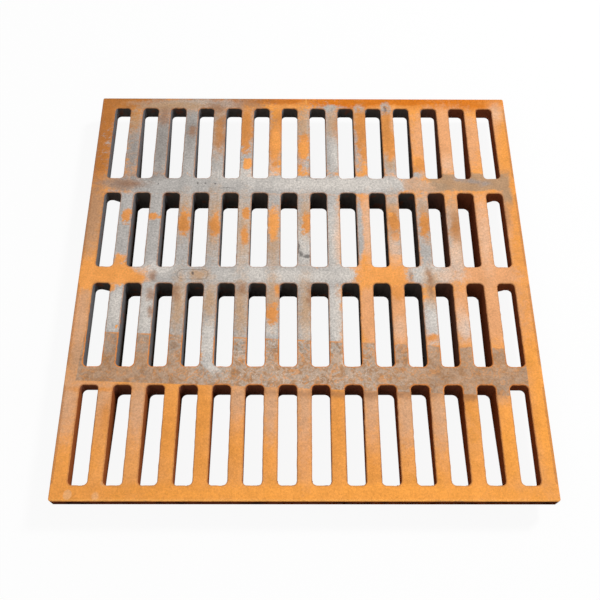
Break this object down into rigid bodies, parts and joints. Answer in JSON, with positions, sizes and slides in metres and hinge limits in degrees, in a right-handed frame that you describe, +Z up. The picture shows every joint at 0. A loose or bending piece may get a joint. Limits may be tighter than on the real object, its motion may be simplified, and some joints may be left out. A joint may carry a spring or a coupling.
{
  "type": "drain grate",
  "caption": "Square cast-iron drain grate with rows of long slots between drafted ribs, a shallow rim that drops into a frame and a flat tread for wheels and feet.",
  "frame": {"origin": "middle of the square outline, level with the underside of the deep ribs", "axes": "+Z up through the tread, X across the slots, +Y along the slots towards the back edge of the picture"},
  "size_m": [0.6094, 0.6094, 0.0445],
  "materials": {
    "cast_iron": "sand-cast grey iron with orange surface rust and worn grey patches on the tread"
  },
  "bodies": {
    "root": {"grate": "cast_iron"}
  },
  "joints": []
}
